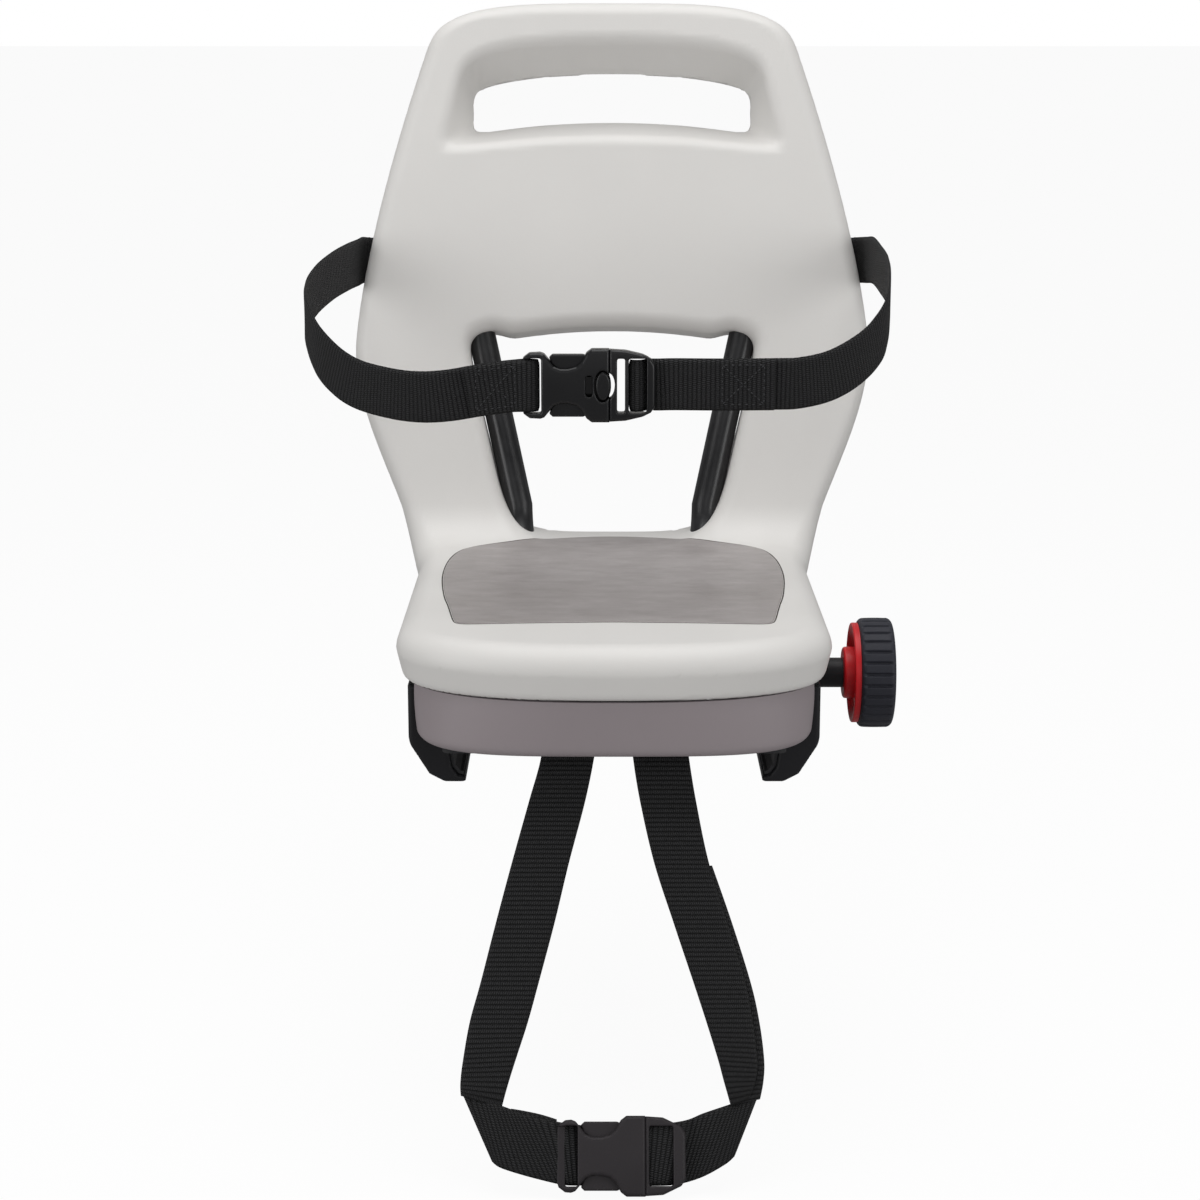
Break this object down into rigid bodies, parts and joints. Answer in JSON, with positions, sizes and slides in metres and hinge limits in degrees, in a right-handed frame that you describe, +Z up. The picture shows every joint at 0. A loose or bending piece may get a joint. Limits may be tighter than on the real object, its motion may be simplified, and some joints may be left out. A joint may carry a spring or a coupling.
{
  "type": "rear child bike seat",
  "caption": "Moulded child seat for a bicycle rack, with a waist belt, a lower strap and a rack clamp closed by a side knob.",
  "frame": {"origin": "on the top plane of the bicycle's rack, midway between the two clamp jaws", "axes": "+X from the middle towards the knob, +Y towards the backrest, +Z up"},
  "size_m": [0.3007, 0.4, 0.5224],
  "materials": {
    "shell": "fine satin moulding",
    "pad": "soft, faintly streaked",
    "tube": "satin black coating",
    "plate": "zinc plated",
    "screws": "zinc plated",
    "cover": "fine satin moulding",
    "rubber": "matt",
    "brackets": "painted black",
    "washers": "turned",
    "rods": "drawn bar",
    "sleeve": "satin black",
    "red": "smooth moulding",
    "grip": "matt, ribbed",
    "jaws": "glass-filled nylon",
    "webbing": "woven polyester",
    "belt_buckle": "satin acetal",
    "strap_buckle": "fine textured acetal"
  },
  "bodies": {
    "seat": {"seat_shell": "shell", "seat_pad": "pad", "frame_tube": "tube", "chassis_plate": "plate", "chassis_screws": "screws", "base_cover": "cover", "cover_screws": "screws", "rest_pads": "rubber", "bearing_bracket_left": "brackets", "bearing_bracket_right": "brackets", "bracket_screws": "screws", "thrust_washers": "washers", "guide_rods": "rods", "strap_anchor_bar": "rods", "belt_bridge": "jaws", "bridge_screws": "screws", "belt_webbing": "webbing", "belt_buckle_socket": "belt_buckle", "strap_webbing": "webbing", "strap_buckle_socket": "strap_buckle"},
    "knob": {"spindle": "rods", "spindle_sleeve": "sleeve", "knob_wheel": "red", "knob_grip": "grip", "knob_cap": "grip", "knob_screw": "screws"},
    "left_jaw": {"jaw_left": "jaws", "jaw_nut_left": "washers", "jaw_lining_left": "rubber"},
    "right_jaw": {"jaw_right": "jaws", "jaw_nut_right": "washers", "jaw_lining_right": "rubber"},
    "belt_tongue": {"belt_buckle_tongue": "belt_buckle"},
    "strap_tongue": {"strap_buckle_tongue": "strap_buckle"}
  },
  "joints": [
    {"name": "knob_turn", "type": "hinge", "parent": "seat", "child": "knob", "pos_m": [0, 0.008, 0.019], "axis": [-1, 0, 0], "range_deg": [0, 2160]},
    {"name": "left_jaw_slide", "type": "slide", "parent": "seat", "child": "left_jaw", "axis": [1, 0, 0], "range_m": [0, 0.018]},
    {"name": "right_jaw_slide", "type": "slide", "parent": "seat", "child": "right_jaw", "axis": [-1, 0, 0], "range_m": [0, 0.018]},
    {"name": "belt_buckle_release", "type": "slide", "parent": "seat", "child": "belt_tongue", "axis": [1, 0, 0], "range_m": [0, 0.028], "deforming": ["belt_webbing"]},
    {"name": "strap_buckle_release", "type": "slide", "parent": "seat", "child": "strap_tongue", "axis": [1, 0, 0], "range_m": [0, 0.028], "deforming": ["strap_webbing"]}
  ],
  "couplings": [
    {"joint": "left_jaw_slide", "follows": "knob_turn", "m_per_rad": 0.00047746},
    {"joint": "right_jaw_slide", "follows": "knob_turn", "m_per_rad": 0.00047746}
  ]
}
